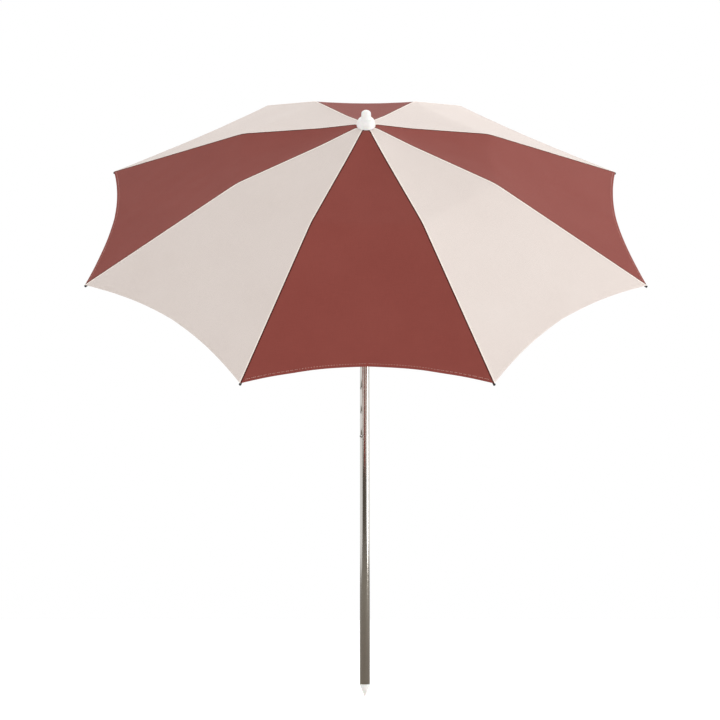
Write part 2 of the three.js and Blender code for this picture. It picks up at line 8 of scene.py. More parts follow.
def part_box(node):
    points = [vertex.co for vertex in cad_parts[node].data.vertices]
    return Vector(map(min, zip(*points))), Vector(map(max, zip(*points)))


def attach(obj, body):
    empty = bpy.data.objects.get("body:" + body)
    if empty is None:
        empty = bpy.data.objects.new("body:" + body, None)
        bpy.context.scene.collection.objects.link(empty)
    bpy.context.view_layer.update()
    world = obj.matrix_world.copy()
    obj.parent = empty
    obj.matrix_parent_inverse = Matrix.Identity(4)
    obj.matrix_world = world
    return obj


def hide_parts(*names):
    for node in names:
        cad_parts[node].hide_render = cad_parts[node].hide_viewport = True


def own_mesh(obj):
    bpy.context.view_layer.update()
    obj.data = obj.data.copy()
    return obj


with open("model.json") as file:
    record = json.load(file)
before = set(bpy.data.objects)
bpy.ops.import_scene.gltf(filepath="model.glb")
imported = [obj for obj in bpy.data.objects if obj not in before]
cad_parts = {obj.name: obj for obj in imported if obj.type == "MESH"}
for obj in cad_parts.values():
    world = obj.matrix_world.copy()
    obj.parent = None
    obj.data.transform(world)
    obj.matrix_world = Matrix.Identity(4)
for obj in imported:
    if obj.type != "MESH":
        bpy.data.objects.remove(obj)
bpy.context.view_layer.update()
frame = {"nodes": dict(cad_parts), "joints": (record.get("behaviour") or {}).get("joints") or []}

joints = {joint["name"]: joint for joint in frame["joints"]}


# ---- Spike
# A white moulded plug pushed into the foot of the pole, with a blunt cone below it.
# It goes into the sand first, so its point is scuffed and a little dirty.

def turned(name, outline, sides=96):
    """A round form about +Z: a circle carried along the outline, one ring for each (radius, height).
    An outline that ends where it starts makes a hollow form, and any other a solid one."""
    hollow = outline[0] == outline[-1]
    bpy.ops.object.select_all(action="DESELECT")
    radius, height = outline[0]
    bpy.ops.mesh.primitive_circle_add(
        vertices=sides, radius=radius, location=(0, 0, height),
        fill_type="NOTHING" if hollow else "NGON")
    piece = bpy.context.object
    piece.name = name
    bpy.ops.object.transform_apply(location=True, rotation=True, scale=True)
    bpy.ops.object.mode_set(mode="EDIT")
    bpy.ops.mesh.select_all(action="SELECT")
    for (near, low), (far, high) in zip(outline, outline[1:]):
        bpy.ops.mesh.extrude_region_move(TRANSFORM_OT_translate={"value": (0, 0, high - low)})
        growth = far / near
        bpy.ops.transform.resize(value=(growth, growth, 1), center_override=(0, 0, high))
    bpy.ops.mesh.select_all(action="SELECT")
    bpy.ops.mesh.remove_doubles(threshold=2e-6)
    bpy.ops.mesh.normals_make_consistent(inside=False)
    bpy.ops.object.mode_set(mode="OBJECT")
    return piece


def take_up(piece):
    """Leaves only this piece selected, and makes it the active one."""
    bpy.ops.object.select_all(action="DESELECT")
    piece.select_set(True)
    bpy.context.view_layer.objects.active = piece


def apply_modifier(piece, kind, **settings):
    """Adds one modifier, sets it and applies it."""
    modifier = piece.modifiers.new(kind.title(), kind)
    for name, value in settings.items():
        setattr(modifier, name, value)
    take_up(piece)
    bpy.ops.object.modifier_apply(modifier=modifier.name)


def soften(piece, width, segments=3, sharp=35):
    """Rounds every edge that turns more than `sharp` degrees."""
    apply_modifier(piece, "BEVEL", width=width, segments=segments, limit_method="ANGLE",
                   angle_limit=math.radians(sharp), miter_outer="MITER_ARC")


def fit(piece, body, slot, material, *nodes):
    """Gives a finished piece its material and its body, and hides the CAD nodes that it stands for."""
    take_up(piece)
    bpy.ops.object.shade_smooth_by_angle(angle=math.radians(32))
    piece.data.materials.clear()
    piece.data.materials.append(material)
    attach(piece, body)
    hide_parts(*nodes)
    return piece


def add_node(tree, kind, inputs=(), **settings):
    """A shader node. Each input is a value, or the socket that feeds it."""
    made = tree.nodes.new(kind)
    for name, value in settings.items():
        setattr(made, name, value)
    for name, value in dict(inputs).items():
        if isinstance(value, bpy.types.NodeSocket):
            tree.links.new(value, made.inputs[name])
        else:
            made.inputs[name].default_value = value
    return made


def maths(tree, operation, first, second=0.0, third=0.0):
    """One Math node's result."""
    values = {0: first, 1: second, 2: third}
    return add_node(tree, "ShaderNodeMath", values, operation=operation).outputs[0]


def noise_value(tree, vector, scale, detail=3.0, roughness=0.55):
    """One Noise node's value."""
    inputs = {"Vector": vector, "Scale": scale, "Detail": detail, "Roughness": roughness}
    return add_node(tree, "ShaderNodeTexNoise", inputs).outputs[0]


def new_group(name, inputs, outputs):
    """An empty node group with the named sockets, its inputs and its outputs."""
    group = bpy.data.node_groups.new(name, "ShaderNodeTree")
    for label, value in inputs.items():
        kind = "NodeSocketFloat" if isinstance(value, float) else "NodeSocketVector"
        socket = group.interface.new_socket(label, in_out="INPUT", socket_type=kind)
        if isinstance(value, float):
            socket.default_value = value
    for label in outputs:
        group.interface.new_socket(label, in_out="OUTPUT", socket_type="NodeSocketFloat")
    inlet = group.nodes.new("NodeGroupInput").outputs
    outlet = group.nodes.new("NodeGroupOutput").inputs
    return group, inlet, outlet


# Moulded skin: the fine eroded grain of a mould, and the slow unevenness of its gloss
moulded_skin, inlet, outlet = new_group(
    "Moulded skin", {"Vector": None, "Grain": 2500.0}, ["Height", "Unevenness"])
grain = noise_value(moulded_skin, inlet["Vector"], inlet["Grain"], 2.0)
slow = noise_value(moulded_skin, inlet["Vector"], 35.0, 4.0)
moulded_skin.links.new(grain, outlet["Height"])
moulded_skin.links.new(slow, outlet["Unevenness"])

# Dust: a soft film that gathers low on a piece, in patches
settled_dust, inlet, outlet = new_group(
    "Settled dust", {"Vector": None, "Top": 0.04, "Depth": 0.04}, ["Mask"])
height = add_node(settled_dust, "ShaderNodeSeparateXYZ", {0: inlet["Vector"]}).outputs["Z"]
below = maths(settled_dust, "SUBTRACT", inlet["Top"], height)
share = maths(settled_dust, "DIVIDE", below, inlet["Depth"])
patchy = maths(settled_dust, "MULTIPLY", share, noise_value(settled_dust, inlet["Vector"], 180.0, 5.0))
clamped = add_node(settled_dust, "ShaderNodeClamp", {"Value": patchy}).outputs[0]
settled_dust.links.new(clamped, outlet["Mask"])


def new_material(name, roughness, metallic=0.0, **sockets):
    """A material with only a Principled shader, its node tree, the shader and Object coordinates."""
    material = bpy.data.materials.new(name)
    material.use_nodes = True
    tree = material.node_tree
    shader = tree.nodes["Principled BSDF"]
    shader.inputs["Roughness"].default_value = roughness
    shader.inputs["Metallic"].default_value = metallic
    for label, value in sockets.items():
        shader.inputs[label.replace("_", " ")].default_value = value
    place = add_node(tree, "ShaderNodeTexCoord").outputs["Object"]
    return material, tree, shader, place


def blend_colours(tree, share, first, second):
    """A colour that goes from the first to the second with the share."""
    inputs = {0: share, 6: first, 7: second}
    return add_node(tree, "ShaderNodeMix", inputs, data_type="RGBA").outputs[2]


def spread(tree, value, low, high):
    """A 0 to 1 value spread over low to high."""
    inputs = {"Value": value, "To Min": low, "To Max": high}
    return add_node(tree, "ShaderNodeMapRange", inputs).outputs[0]


def bump(tree, shader, height, distance, strength=1.0):
    """Feeds a height in metres to the shader's normal."""
    inputs = {"Height": height, "Distance": distance, "Strength": strength}
    tree.links.new(add_node(tree, "ShaderNodeBump", inputs).outputs[0], shader.inputs["Normal"])


def skin_over(tree, place, grain=2500.0):
    """The moulded skin's height and unevenness at a grain."""
    inputs = {"Vector": place, "Grain": grain}
    return add_node(tree, "ShaderNodeGroup", inputs, node_tree=moulded_skin).outputs


def white_plastic(name, dust_top=0.0):
    """White polypropylene with a satin mould skin, and dust up to a height where it meets the sand."""
    material, tree, shader, place = new_material(
        name, 0.34, Subsurface_Weight=0.12, Subsurface_Scale=0.004,
        Coat_Weight=0.15, Coat_Roughness=0.25)
    skin = skin_over(tree, place)
    white = blend_colours(tree, skin["Unevenness"], (0.80, 0.80, 0.785, 1), (0.90, 0.90, 0.89, 1))
    rough = spread(tree, skin["Unevenness"], 0.27, 0.45)
    if dust_top:
        inputs = {"Vector": place, "Top": dust_top, "Depth": dust_top}
        dust = add_node(tree, "ShaderNodeGroup", inputs, node_tree=settled_dust).outputs["Mask"]
        dust = maths(tree, "MULTIPLY", dust, 0.4)
        white = blend_colours(tree, dust, white, (0.55, 0.50, 0.43, 1))
        rough = maths(tree, "ADD", rough, dust)
    tree.links.new(white, shader.inputs["Base Color"])
    tree.links.new(rough, shader.inputs["Roughness"])
    bump(tree, shader, skin["Height"], 0.00003, 0.5)
    return material


spike_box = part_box("spike")
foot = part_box("lower_pole")[0].z
pole_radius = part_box("lower_pole")[1].x
tube_wall = 0.0012
tip_radius = 0.003
spike_rings = [
    (tip_radius * 0.35, 0.0),
    (tip_radius * 0.75, tip_radius * 0.15),
    (tip_radius * 0.95, tip_radius * 0.45),
    (tip_radius, tip_radius * 0.85),
    (pole_radius - 0.0007, foot - 0.0030),
    (pole_radius - 0.0001, foot - 0.0022),
    (pole_radius, foot - 0.0012),
    (pole_radius, foot - 0.0003),
    (pole_radius - tube_wall - 0.0003, foot - 0.0003),
    (pole_radius - tube_wall - 0.0003, spike_box[1].z - 0.002),
    (pole_radius - tube_wall - 0.002, spike_box[1].z),
]
spike = turned("spike_plug", spike_rings)
fit(spike, "lower_pole", "white_plastic", white_plastic("White plastic, scuffed", 0.03), "spike")


# ---- Lower tube
# Satin steel tube, drawn and polished, open at the top. Three round holes in a row take the
# snap button of the tube inside it; their edges are broken by hand with a countersink.

# Drawn grain: hair lines along a tube's own length, and marks left by hands and sand
drawn_grain, inlet, outlet = new_group("Drawn grain", {"Vector": None}, ["Line", "Handling"])
along = add_node(drawn_grain, "ShaderNodeMapping",
                 {"Vector": inlet["Vector"], "Scale": (1, 1, 0.012)}).outputs[0]
line = noise_value(drawn_grain, along, 1400.0, 3.0, 0.7)
round_about = add_node(drawn_grain, "ShaderNodeMapping",
                       {"Vector": inlet["Vector"], "Scale": (0.3, 0.3, 1)}).outputs[0]
marks = noise_value(drawn_grain, round_about, 60.0, 6.0, 0.65)
drawn_grain.links.new(line, outlet["Line"])
drawn_grain.links.new(marks, outlet["Handling"])


def satin_steel(name, tilt=0.0):
    """Polished steel tube; tilt turns the grain about X to follow a leaning tube."""
    material, tree, shader, place = new_material(name, 0.16, 1.0)
    turned_place = add_node(tree, "ShaderNodeMapping",
                            {"Vector": place, "Rotation": (-tilt, 0, 0)}).outputs[0]
    grain = add_node(tree, "ShaderNodeGroup", {"Vector": turned_place}, node_tree=drawn_grain).outputs
    metal = blend_colours(tree, grain["Line"], (0.56, 0.54, 0.505, 1), (0.66, 0.64, 0.61, 1))
    handled = maths(tree, "MULTIPLY", grain["Handling"], 0.25)
    metal = blend_colours(tree, handled, metal, (0.50, 0.47, 0.43, 1))
    rough = maths(tree, "ADD", spread(tree, grain["Line"], 0.11, 0.16),
                  spread(tree, grain["Handling"], 0.0, 0.05))
    tree.links.new(metal, shader.inputs["Base Color"])
    tree.links.new(rough, shader.inputs["Roughness"])
    bump(tree, shader, grain["Line"], 0.000004, 0.2)
    return material


def tube(name, radius, low, high):
    """A length of tube about +Z with flat closed ends."""
    bore = radius - tube_wall
    return turned(name, [(bore, low), (radius, low), (radius, high), (bore, high), (bore, low)])


def cut(piece, tool, operation="DIFFERENCE"):
    """Cuts the tool out of the piece, or joins or crosses the two, and throws the tool away."""
    apply_modifier(piece, "BOOLEAN", operation=operation, solver="EXACT", object=tool)
    bpy.data.objects.remove(tool)


def pointing(direction, place):
    """A placement that turns +Z to the direction and moves to the place."""
    turn = Vector((0, 0, 1)).rotation_difference(Vector(direction)).to_matrix().to_4x4()
    return Matrix.Translation(place) @ turn


def drill(radius, start, end, direction, place, sides=48):
    """A plain cutter along a direction, from start to end."""
    tool = turned("cutter", [(radius, start), (radius, end)], sides)
    tool.data.transform(pointing(direction, place))
    return tool


steel = satin_steel("Satin steel")
button_out = -Vector(joints["snap_press"]["axis"])
leaf_length = 0.042
button_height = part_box("snap_button")[0].z + leaf_length
button_radius = 0.0042
hole_radius = button_radius + 0.0004
hole_pitch = 0.080
lower_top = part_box("lower_pole")[1].z
lower_tube = tube("lower_tube", pole_radius, foot, lower_top)
for i in range(3):
    spot = Vector((0, 0, button_height + i * hole_pitch))
    cut(lower_tube, drill(hole_radius, 0.002, pole_radius + 0.004, button_out, spot))
soften(lower_tube, 0.00035, 2, 50)
fit(lower_tube, "lower_pole", "steel", steel, "lower_pole")


# ---- Collar
# A white moulded cap pressed over the lower tube's top. Its lip guides the inner tube, and
# a shallow bead round its skirt gives the hand a grip.

collar_low, collar_high = (corner.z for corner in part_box("pole_collar"))
collar_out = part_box("pole_collar")[1].x
collar_in = pole_radius + 0.0003
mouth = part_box("middle_pole")[1].x + 0.0006
bead = 0.0007
collar = turned("collar", [
    (mouth, lower_top + 0.0003),
    (collar_in, lower_top + 0.0003),
    (collar_in, collar_low),
    (collar_out - bead, collar_low),
    (collar_out, collar_low + bead),
    (collar_out, collar_low + 0.0042),
    (collar_out - bead, collar_low + 0.0050),
    (collar_out - bead, collar_high - 0.0090),
    (collar_out, collar_high - 0.0082),
    (collar_out, collar_high - 0.0018),
    (collar_out - 0.0009, collar_high - 0.0004),
    (collar_out - 0.0022, collar_high),
    (mouth + 0.0008, collar_high),
    (mouth, collar_high - 0.0008),
    (mouth, lower_top + 0.0003),
])
soften(collar, 0.0003, 2, 25)
plastic = white_plastic("White plastic")
fit(collar, "lower_pole", "white_plastic", plastic, "pole_collar")


# ---- Inner tube
# The next size of steel tube, which slides in the lower one. A plastic bush closes its foot
# and centres it; one hole lets the snap button through.

inner_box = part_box("middle_pole")
inner_radius = inner_box[1].x
inner_tube = tube("inner_tube", inner_radius, inner_box[0].z, inner_box[1].z)
button_place = Vector((0, 0, button_height))
cut(inner_tube, drill(hole_radius, 0.002, inner_radius + 0.004, button_out, button_place))
soften(inner_tube, 0.0003, 2, 50)
fit(inner_tube, "middle_pole", "steel", steel, "middle_pole")


def refinish(node, material):
    """Keeps a CAD node's own shape and gives it the finish."""
    materials = frame["nodes"][node].data.materials
    materials.clear()
    materials.append(material)


refinish("middle_pole_plug", plastic)


# ---- Snap button
# A domed steel stud riveted to a bent leaf spring inside the inner tube. The leaf pushes it
# out through both tubes, and a thumb pushes it in.

def spring_steel(name):
    """Bright tempered steel, rubbed smooth where it slides."""
    material, tree, shader, place = new_material(name, 0.22, 1.0)
    skin = skin_over(tree, place, 900.0)
    metal = blend_colours(tree, skin["Unevenness"], (0.42, 0.42, 0.43, 1), (0.62, 0.62, 0.61, 1))
    tree.links.new(metal, shader.inputs["Base Color"])
    tree.links.new(spread(tree, skin["Unevenness"], 0.16, 0.34), shader.inputs["Roughness"])
    bump(tree, shader, skin["Height"], 0.00002, 0.4)
    return material


def strip(name, route, width, thickness):
    """A bent strip of sheet: an edge along Y drawn through the (x, z) points of the route."""
    bpy.ops.object.select_all(action="DESELECT")
    x, z = route[0]
    bpy.ops.mesh.primitive_plane_add(size=width, location=(x, 0, z))
    piece = bpy.context.object
    piece.name = name
    bpy.ops.object.transform_apply(location=True, rotation=True, scale=True)
    bpy.ops.object.mode_set(mode="EDIT")
    bpy.ops.mesh.select_all(action="SELECT")
    bpy.ops.transform.resize(value=(0, 1, 1), center_override=(x, 0, z))
    bpy.ops.mesh.remove_doubles(threshold=1e-6)
    for (x0, z0), (x1, z1) in zip(route, route[1:]):
        bpy.ops.mesh.extrude_region_move(TRANSFORM_OT_translate={"value": (x1 - x0, 0, z1 - z0)})
    bpy.ops.object.mode_set(mode="OBJECT")
    apply_modifier(piece, "SOLIDIFY", thickness=thickness, offset=0)
    return piece


def snap_stud(name, bore, reach):
    """The stud and its leaf about +X, with the stud's axis at z = 0."""
    root = bore - 0.004
    dome = 0.0022
    stud = turned(name, [(button_radius, root - 0.0005), (button_radius, reach - dome)]
                  + [(button_radius * math.cos(a), reach - dome + dome * math.sin(a))
                     for a in (math.radians(step) for step in range(12, 86, 12))], 48)
    stud.data.transform(pointing((1, 0, 0), Vector()))
    leaf = strip("leaf", [(root, 0.007), (root, -0.0062), (0.0016, -leaf_length + 0.001),
                          (-0.0016, -leaf_length + 0.001), (-bore + 0.0018, 0.008)], 0.007, 0.0006)
    cut(stud, leaf, "UNION")
    return stud


spring_finish = spring_steel("Spring steel")
stud = snap_stud("snap_stud", inner_radius - tube_wall, pole_radius + 0.005)
soften(stud, 0.00025, 2, 50)
facing = math.atan2(button_out.y, button_out.x)
stud.data.transform(Matrix.Translation((0, 0, button_height)) @ Matrix.Rotation(facing, 4, "Z"))
fit(stud, "snap_button", "spring_steel", spring_finish, "snap_button")


# ---- Tilt fork and its pin
# A white nylon fork glued into the inner tube. Two cheeks hold a riveted steel pin, and each
# has two holes for the tilt button: one for upright and one for leaning.

tilt_pin_at = Vector(joints["tilt"]["pos_m"])
tilt_angle = math.radians(45)
fork_radius = 0.017
fork_drop = tilt_pin_at.z - inner_box[1].z - 0.0003
cheek_out = 0.0124
gate = 0.0088
bore_radius = 0.0039
lock_orbit = 0.0115
lock_radius = 0.0032


def disc_along_x(name, radius, left, right, floor):
    """A round plate across X whose lower half is drawn down straight to a flat floor."""
    plate = turned(name, [(radius, left), (radius, right)], 96)
    plate.data.transform(pointing((1, 0, 0), Vector()))
    bpy.ops.object.mode_set(mode="EDIT")
    bpy.ops.mesh.select_all(action="DESELECT")
    bpy.ops.object.mode_set(mode="OBJECT")
    for corner in plate.data.vertices:
        corner.select = corner.co.z < -1e-5
    bpy.ops.object.mode_set(mode="EDIT")
    bpy.ops.transform.resize(value=(1, 1, 0), center_override=(0, 0, floor))
    bpy.ops.object.mode_set(mode="OBJECT")
    return plate


def block(name, low, high):
    """A plain box between two corners."""
    bpy.ops.object.select_all(action="DESELECT")
    bpy.ops.mesh.primitive_cube_add(size=1)
    piece = bpy.context.object
    piece.name = name
    low, high = Vector(low), Vector(high)
    piece.data.transform(Matrix.Translation((low + high) / 2) @ Matrix.Diagonal((*(high - low), 1)))
    return piece


cheeks = disc_along_x("tilt_fork_moulding", fork_radius, -cheek_out, cheek_out, -fork_radius - 0.002)
cut(cheeks, turned("envelope", [(fork_radius + 0.001, -0.03), (fork_radius + 0.001, 0.02)]), "INTERSECT")
cut(cheeks, block("gate", (-gate, -0.04, -fork_radius - 0.0003), (gate, 0.04, 0.04)))
cut(cheeks, turned("base", [
    (fork_radius - 0.0008, -fork_drop), (fork_radius, -fork_drop + 0.0008),
    (fork_radius, -fork_radius - 0.0009), (fork_radius - 0.0006, -fork_radius - 0.0003)]), "UNION")
cut(cheeks, drill(bore_radius, -0.02, 0.02, (1, 0, 0), Vector()))
for side in (-1, 1):
    seat = Vector((0, math.sin(tilt_angle / 2) * side, math.cos(tilt_angle / 2))) * lock_orbit
    cut(cheeks, drill(lock_radius, 0, 0.02, (1, 0, 0), seat))
stem = inner_radius - tube_wall - 0.0003
cut(cheeks, turned("stem", [(stem, -fork_drop - 0.03), (stem, -fork_drop + 0.001)]), "UNION")
soften(cheeks, 0.0007, 3, 40)
cheeks.data.transform(Matrix.Translation(tilt_pin_at))
fit(cheeks, "middle_pole", "white_plastic", plastic, "tilt_fork")

pin_radius = 0.0035
pin_head = 0.006
half_pin = cheek_out + 0.0003
domed = [(pin_head, 0.0), (pin_head, 0.0008), (pin_head * 0.93, 0.0014), (pin_head * 0.75, 0.0019),
         (pin_head * 0.45, 0.0023), (pin_head * 0.12, 0.0024)]
pin = turned("tilt_rivet", [(r, -half_pin - rise) for r, rise in reversed(domed)]
             + [(pin_radius, -half_pin), (pin_radius, half_pin)]
             + [(r, half_pin + rise) for r, rise in domed], 64)
pin.data.transform(pointing((1, 0, 0), tilt_pin_at))
fit(pin, "middle_pole", "spring_steel", spring_finish, "tilt_pin")


# ---- Tilt knuckle and its button
# The other half of the joint: a nylon tongue on the pin, with a shoulder that the mast's foot
# sits on. A steel button in the tongue snaps into the fork's cheek.

rib_pins = [Vector(joints[f"rib_{k}_fold"]["pos_m"]) for k in range(1, 9)]
crown = sum(rib_pins, Vector()) / len(rib_pins)
mast_length = (crown - tilt_pin_at).length
mast_up = (crown - tilt_pin_at).normalized()
lean = pointing(mast_up, tilt_pin_at)
tongue = 0.0082
shoulder_low = fork_radius + 0.001
shoulder_top = shoulder_low + 0.008
disc_radius = fork_radius - 0.0006
knuckle = turned("tilt_knuckle_moulding", [(disc_radius, -tongue), (disc_radius, tongue)])
knuckle.data.transform(pointing((1, 0, 0), Vector()))
cut(knuckle, block("neck", (-tongue, -0.012, 0), (tongue, 0.012, fork_radius + 0.002)), "UNION")
cut(knuckle, turned("shoulder", [
    (fork_radius - 0.003, shoulder_low), (fork_radius, shoulder_low + 0.003),
    (fork_radius, shoulder_top - 0.0012), (fork_radius - 0.0012, shoulder_top)]), "UNION")
cut(knuckle, turned("stem", [(stem, shoulder_top - 0.001), (stem, shoulder_top + 0.032)]), "UNION")
cut(knuckle, drill(bore_radius, -0.02, 0.02, (1, 0, 0), Vector()))
lock_seat = Vector((0, math.sin(tilt_angle / 2), math.cos(tilt_angle / 2))) * lock_orbit
cut(knuckle, drill(lock_radius, -0.007, 0.02, (1, 0, 0), lock_seat))
soften(knuckle, 0.0006, 3, 40)
knuckle.data.transform(lean)
fit(knuckle, "mast", "white_plastic", plastic, "tilt_knuckle")

tilt_button_radius = 0.0028
tilt_reach = cheek_out + 0.0022
tilt_stud = turned("tilt_stud", [
    (tilt_button_radius, -0.0064), (tilt_button_radius, tilt_reach - 0.0012),
    (tilt_button_radius * 0.92, tilt_reach - 0.0006), (tilt_button_radius * 0.7, tilt_reach - 0.0002),
    (tilt_button_radius * 0.3, tilt_reach)], 48)
tilt_stud.data.transform(lean @ pointing((1, 0, 0), lock_seat))
fit(tilt_stud, "tilt_button", "spring_steel", spring_finish, "tilt_button")


# ---- Mast
# Steel tube of the inner tube's size, pushed over the knuckle's stem. The runner slides on
# it, and a sprung catch near its top holds the runner up while the canopy is open.

runner_pin = Vector(joints["runner_hinge"]["pos_m"])
runner_height = (runner_pin - tilt_pin_at).dot(mast_up)
catch_reach = inner_radius + 0.005
catch_drop = 0.0232
catch_height = runner_height - catch_drop
mast_low = shoulder_top + 0.0003
mast_top = mast_length + 0.0036
mast = tube("mast_tube", inner_radius, mast_low, mast_top)
cut(mast, drill(hole_radius, 0.002, inner_radius + 0.004, (1, 0, 0), Vector((0, 0, catch_height))))
soften(mast, 0.0003, 2, 50)
mast.data.transform(lean)
leaning_steel = satin_steel("Satin steel, leaning", tilt_angle)
fit(mast, "mast", "steel", leaning_steel, "mast")
refinish("mast_plug", plastic)

catch = snap_stud("catch_stud", inner_radius - tube_wall, catch_reach)
soften(catch, 0.00025, 2, 50)
catch.data.transform(lean @ Matrix.Translation((0, 0, catch_height)))
fit(catch, "runner_catch", "spring_steel", spring_finish, "runner_catch")


# ---- Hub
# A white nylon crown pressed on the mast's head. Eight slots take the ribs' eyes, and one
# ring of wire is threaded through them all and lies in a groove.

def slotted(piece, inner, outer, low, high, half_width):
    """Cuts eight radial slots, one under each rib."""
    for k in range(8):
        tool = block("slot", (inner, -half_width, low), (outer, half_width, high))
        tool.data.transform(Matrix.Rotation((k + 0.5) * math.pi / 4 - math.pi / 2, 4, "Z"))
        cut(piece, tool)


hub_radius = 0.033
roof = 0.0039
hub_top = 0.0065
pivot_circle = 0.026
slot_half = 0.0031
slot_inner = 0.0215
sleeve_bore = inner_radius + 0.0003
stem_bore = 0.0044
hub = turned("hub_moulding", [
    (sleeve_bore, -0.016), (hub_radius - 0.0108, -0.016), (hub_radius - 0.010, -0.0152),
    (hub_radius - 0.0016, -0.0070), (hub_radius, -0.0052), (hub_radius, hub_top - 0.0018),
    (hub_radius - 0.0005, hub_top - 0.0006), (hub_radius - 0.0018, hub_top), (stem_bore, hub_top),
    (stem_bore, roof), (sleeve_bore, roof), (sleeve_bore, -0.016)])
slotted(hub, slot_inner, hub_radius + 0.005, -0.02, roof, slot_half)
soften(hub, 0.0004, 2, 40)
head = lean @ Matrix.Translation((0, 0, mast_length))
hub.data.transform(head)
fit(hub, "mast", "white_plastic", plastic, "hub")
for wire in ("hub_wire", "runner_wire"):
    refinish(wire, spring_finish)


# ---- Runner
# A white nylon sleeve that slides up the mast and pushes the stretchers out. Its flange has
# the same eight slots as the hub, and its foot is flared for two fingers.

runner_bore = inner_radius + 0.0006
runner_out = runner_bore + 0.0034
runner = turned("runner_moulding", [
    (runner_bore, -0.018), (runner_out + 0.0022, -0.018), (runner_out + 0.003, -0.0172),
    (runner_out + 0.003, -0.0150), (runner_out + 0.0012, -0.0132), (runner_out, -0.0124),
    (runner_out, -0.0102), (hub_radius - 0.0010, -0.0072), (hub_radius, -0.0062),
    (hub_radius, 0.0033), (hub_radius - 0.0010, 0.0043), (runner_out + 0.001, 0.0043),
    (runner_out, 0.0055), (runner_out, 0.0310), (runner_out - 0.0012, 0.0335),
    (runner_out - 0.0022, 0.034), (runner_bore, 0.034), (runner_bore, -0.018)])
slotted(runner, slot_inner, hub_radius + 0.005, -0.0039, 0.02, slot_half)
soften(runner, 0.0004, 2, 40)
runner.data.transform(lean @ Matrix.Translation((0, 0, runner_height)))
fit(runner, "runner", "white_plastic", plastic, "runner")


# ---- Ribs
# Eight dark glass-fibre rods, bent once where the stretcher meets them, each with a crimped
# steel eye for the hub's wire. A plastic cap on the far end goes in the cloth's corner.

def pressed_steel(name):
    """Zinc plate on pressed steel: a dull bright skin with faint crystals."""
    material, tree, shader, place = new_material(name, 0.36, 1.0)
    crystals = add_node(tree, "ShaderNodeTexVoronoi", {"Vector": place, "Scale": 260.0}).outputs["Color"]
    flake = add_node(tree, "ShaderNodeSeparateXYZ", {0: crystals}).outputs["X"]
    skin = skin_over(tree, place, 1500.0)
    metal = blend_colours(tree, flake, (0.55, 0.55, 0.545, 1), (0.68, 0.68, 0.67, 1))
    dulled = maths(tree, "MULTIPLY", skin["Unevenness"], 0.4)
    metal = blend_colours(tree, dulled, metal, (0.45, 0.45, 0.44, 1))
    tree.links.new(metal, shader.inputs["Base Color"])
    rough = maths(tree, "ADD", spread(tree, flake, 0.24, 0.34),
                  spread(tree, skin["Unevenness"], 0.0, 0.12))
    tree.links.new(rough, shader.inputs["Roughness"])
    bump(tree, shader, skin["Height"], 0.00003, 0.4)
    return material


def dark_skin(name, dark, light, roughness, grain):
    """A dark resin or plastic with a fine grain and paler rubbed patches."""
    material, tree, shader, place = new_material(name, roughness)
    skin = skin_over(tree, place, grain)
    tree.links.new(blend_colours(tree, skin["Unevenness"], dark, light), shader.inputs["Base Color"])
    rough = spread(tree, skin["Unevenness"], roughness - 0.1, roughness + 0.12)
    tree.links.new(rough, shader.inputs["Roughness"])
    bump(tree, shader, skin["Height"], 0.00004, 0.6)
    return material


inner_slope = math.radians(15)
outer_slope = math.radians(26.2)
bend_start = 0.391
bend_radius = 0.150
rib_radius = 0.0025
tip_reach = 0.910 - pivot_circle
eye_radius = 0.0033
eye_width = 0.005
wire_bore = 0.00165
bend_in = Vector((math.cos(inner_slope), 0, -math.sin(inner_slope))) * bend_start
bend_turn = outer_slope - inner_slope
bend_centre = bend_in - Vector((math.sin(inner_slope), 0, math.cos(inner_slope))) * bend_radius
bend_out = bend_centre + Vector((math.sin(outer_slope), 0, math.cos(outer_slope))) * bend_radius
outer_way = Vector((math.cos(outer_slope), 0, -math.sin(outer_slope)))
rib_tip = bend_out + outer_way * ((tip_reach - bend_out.x) / outer_way.x)


def arm_frame(k):
    """Places a piece made about rib pin k: +X out along the rib's azimuth, +Z up the mast."""
    joint = joints[f"rib_{k}_fold"]
    pin, across = Vector(joint["pos_m"]), Vector(joint["axis"]).normalized()
    outwards = (pin - crown).normalized()
    turn = Matrix((outwards, across, mast_up)).transposed().to_4x4()
    return Matrix.Translation(pin) @ turn


def copied(pattern, name, placement):
    """A copy of the pattern with a mesh of its own, put in its place."""
    piece = pattern.copy()
    piece.data = pattern.data.copy()
    piece.name = name
    bpy.context.scene.collection.objects.link(piece)
    piece.data.transform(placement)
    return piece


rod_start = eye_radius + 0.004
bpy.ops.object.select_all(action="DESELECT")
bpy.ops.mesh.primitive_circle_add(vertices=24, radius=rib_radius, fill_type="NGON")
rod = bpy.context.object
rod.data.transform(pointing(bend_in.normalized(), bend_in.normalized() * rod_start))
bpy.ops.object.mode_set(mode="EDIT")
bpy.ops.mesh.select_all(action="SELECT")
straight = bend_in - bend_in.normalized() * rod_start
bpy.ops.mesh.extrude_region_move(TRANSFORM_OT_translate={"value": straight})
bpy.ops.mesh.spin(steps=12, angle=-bend_turn, center=bend_centre, axis=(0, 1, 0))
outer_run = rib_tip - outer_way * 0.002 - bend_out
bpy.ops.mesh.extrude_region_move(TRANSFORM_OT_translate={"value": outer_run})
bpy.ops.mesh.select_all(action="SELECT")
bpy.ops.mesh.remove_doubles(threshold=1e-6)
bpy.ops.mesh.normals_make_consistent(inside=False)
bpy.ops.object.mode_set(mode="OBJECT")

